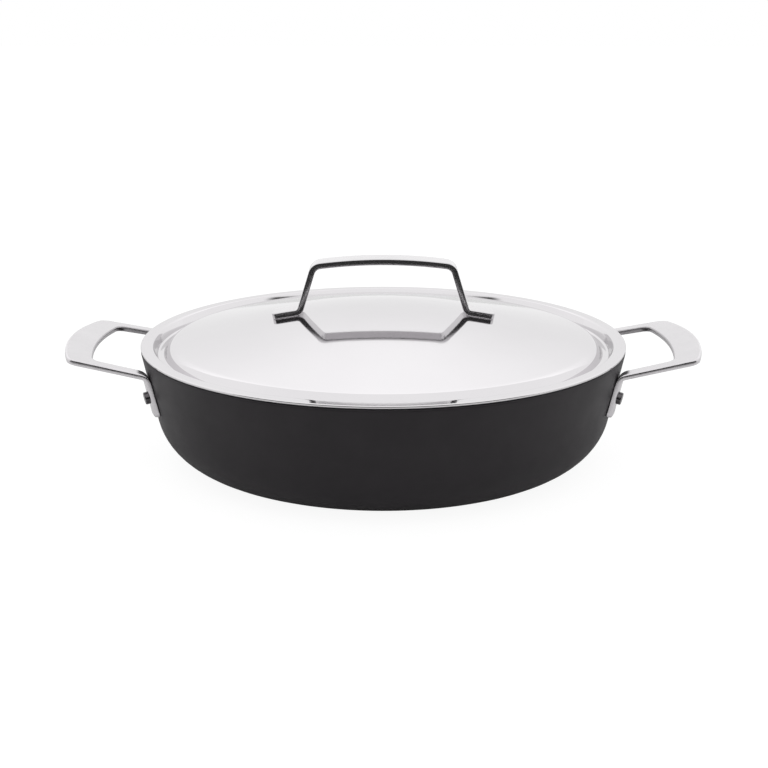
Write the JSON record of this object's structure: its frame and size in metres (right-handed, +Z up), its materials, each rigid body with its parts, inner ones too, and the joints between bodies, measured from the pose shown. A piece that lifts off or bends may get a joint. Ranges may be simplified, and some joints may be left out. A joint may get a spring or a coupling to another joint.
{
  "type": "braiser",
  "caption": "Shallow round braising pan in black anodised aluminium, with riveted steel loop handles at its sides and a domed polished steel lid that lifts off by a strap handle.",
  "frame": {"origin": "centre of the underside, on the plane that the pan stands on", "axes": "+Z up along the pan's axis, +X along the line through the side handles, towards the right-hand one, +Y away from the front"},
  "size_m": [0.3766, 0.288, 0.1185],
  "materials": {
    "pan_black": "matte black hard-anodised",
    "disc_steel": "finely turned stainless steel",
    "handle_steel": "polished stainless steel",
    "rivet_steel": "satin stainless steel",
    "lid_steel": "mirror-polished stainless steel"
  },
  "bodies": {
    "pan": {"pan_body": "pan_black", "base_disc": "disc_steel", "left_handle": "handle_steel", "right_handle": "handle_steel", "left_front_rivet": "rivet_steel", "left_rear_rivet": "rivet_steel", "right_front_rivet": "rivet_steel", "right_rear_rivet": "rivet_steel"},
    "lid": {"lid_shell": "lid_steel", "lid_handle": "handle_steel"}
  },
  "joints": [
    {"name": "lid_lift", "type": "slide", "parent": "pan", "child": "lid", "axis": [0, 0, 1], "range_m": [0, 0.15]}
  ]
}
